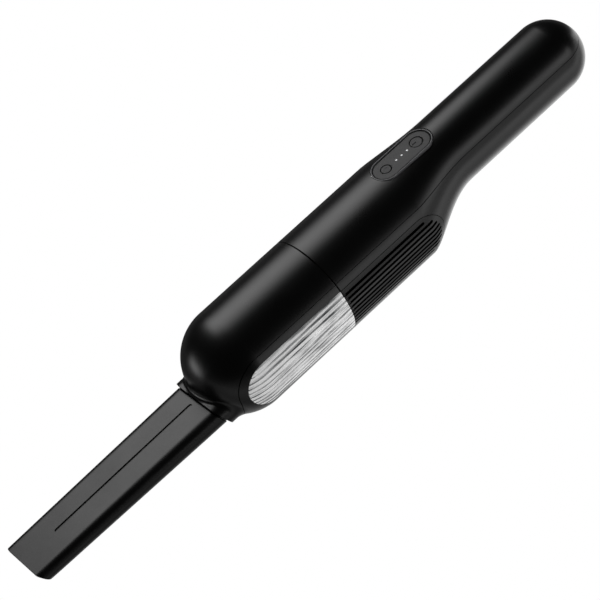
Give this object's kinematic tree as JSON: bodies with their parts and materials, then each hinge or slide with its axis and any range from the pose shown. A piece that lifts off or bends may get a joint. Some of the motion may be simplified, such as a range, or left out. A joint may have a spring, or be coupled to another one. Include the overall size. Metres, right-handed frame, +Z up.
{
  "type": "handheld vacuum",
  "caption": "Cordless stick-shaped hand vacuum: round grip with key panel, motor body with side grilles, windowed dust cup and flat crevice nozzle.",
  "frame": {"origin": "middle of the bounding box's footprint, on the plane that the belly rests on", "axes": "+X forward to the nozzle's mouth, +Y left, +Z up through the key panel"},
  "size_m": [0.4275, 0.0624, 0.0616],
  "materials": {
    "satin_black": "satin",
    "nozzle_black": "fine satin",
    "grille_black": "satin",
    "panel_grey": "soft matte",
    "rim_grey": "satin",
    "clear_ribbed": "clear, ribbed",
    "light_white": "diffusing",
    "inner_black": "moulded",
    "rubber": "matte",
    "silicone": "matte",
    "steel": "satin",
    "zinc": "plated",
    "copper": "enamelled wire",
    "board_green": "solder mask",
    "cell_blue": "sleeved",
    "filter_white": "pleated fleece",
    "foam_grey": "open foam",
    "magnet_grey": "ferrite",
    "wire_red": "insulation"
  },
  "bodies": {
    "main": {"upper_housing": "satin_black", "lower_housing": "satin_black", "vent_grille_left": "grille_black", "vent_grille_right": "grille_black", "housing_screw_1": "zinc", "housing_screw_2": "zinc", "housing_screw_3": "zinc", "panel_bezel": "rim_grey", "control_pad": "panel_grey", "battery_light_guide": "light_white", "power_switch": "inner_black", "mode_switch": "inner_black", "control_board": "board_green", "battery_cell_left": "cell_blue", "battery_cell_right": "cell_blue", "cell_link_front": "zinc", "cell_link_rear": "zinc", "battery_bracket_front": "inner_black", "battery_bracket_rear": "inner_black", "charge_socket": "steel", "charge_board": "board_green", "fan_shroud": "inner_black", "diffuser": "inner_black", "motor_can": "steel", "motor_front_cap": "inner_black", "stator_magnets": "magnet_grey", "front_bearing": "steel", "rear_bearing": "steel", "motor_bracket": "inner_black", "motor_front_mount": "rubber", "motor_rear_mount": "rubber", "motor_lead_red": "wire_red", "battery_lead_red": "wire_red", "motor_lead_black": "rubber", "battery_lead_black": "rubber", "exhaust_foam_left": "foam_grey", "exhaust_foam_right": "foam_grey", "bulkhead": "inner_black", "cup_seal": "silicone"},
    "rotor": {"motor_shaft": "steel", "rotor_core": "copper", "impeller": "inner_black"},
    "power_key": {"power_button": "panel_grey"},
    "mode_key": {"mode_button": "panel_grey"},
    "filter": {"filter_frame": "rubber", "filter_media": "filter_white", "filter_end_cap": "rubber", "prefilter_cage": "steel"},
    "cup": {"cup_shell": "satin_black", "cup_lower_shell": "satin_black", "cup_window_left": "clear_ribbed", "cup_window_right": "clear_ribbed", "inlet_duct": "inner_black", "flap_pin": "steel"},
    "flap": {"inlet_flap": "silicone"},
    "nozzle": {"crevice_nozzle": "nozzle_black"}
  },
  "joints": [
    {"name": "motor_spin", "type": "hinge", "parent": "main", "child": "rotor", "pos_m": [-0.03365, 0, 0.0304], "axis": [1, 0, 0], "continuous": true},
    {"name": "power_press", "type": "slide", "parent": "main", "child": "power_key", "axis": [0, 0, -1], "range_m": [0, 0.0007], "stiffness_N_per_m": 900, "springref_m": -0.0002},
    {"name": "mode_press", "type": "slide", "parent": "main", "child": "mode_key", "axis": [0, 0, -1], "range_m": [0, 0.0007], "stiffness_N_per_m": 900, "springref_m": -0.0002},
    {"name": "filter_slide", "type": "slide", "parent": "main", "child": "filter", "axis": [1, 0, 0], "range_m": [0, 0.012]},
    {"name": "cup_slide", "type": "slide", "parent": "main", "child": "cup", "axis": [1, 0, 0], "range_m": [0, 0.04]},
    {"name": "flap_hinge", "type": "hinge", "parent": "cup", "child": "flap", "pos_m": [0.05695, 0, 0.0317], "axis": [0, 1, 0], "range_deg": [0, 60], "stiffness_Nm_per_rad": 0.0005, "springref_deg": -11.46},
    {"name": "nozzle_slide", "type": "slide", "parent": "cup", "child": "nozzle", "axis": [1, 0, 0], "range_m": [0, 0.02]}
  ]
}
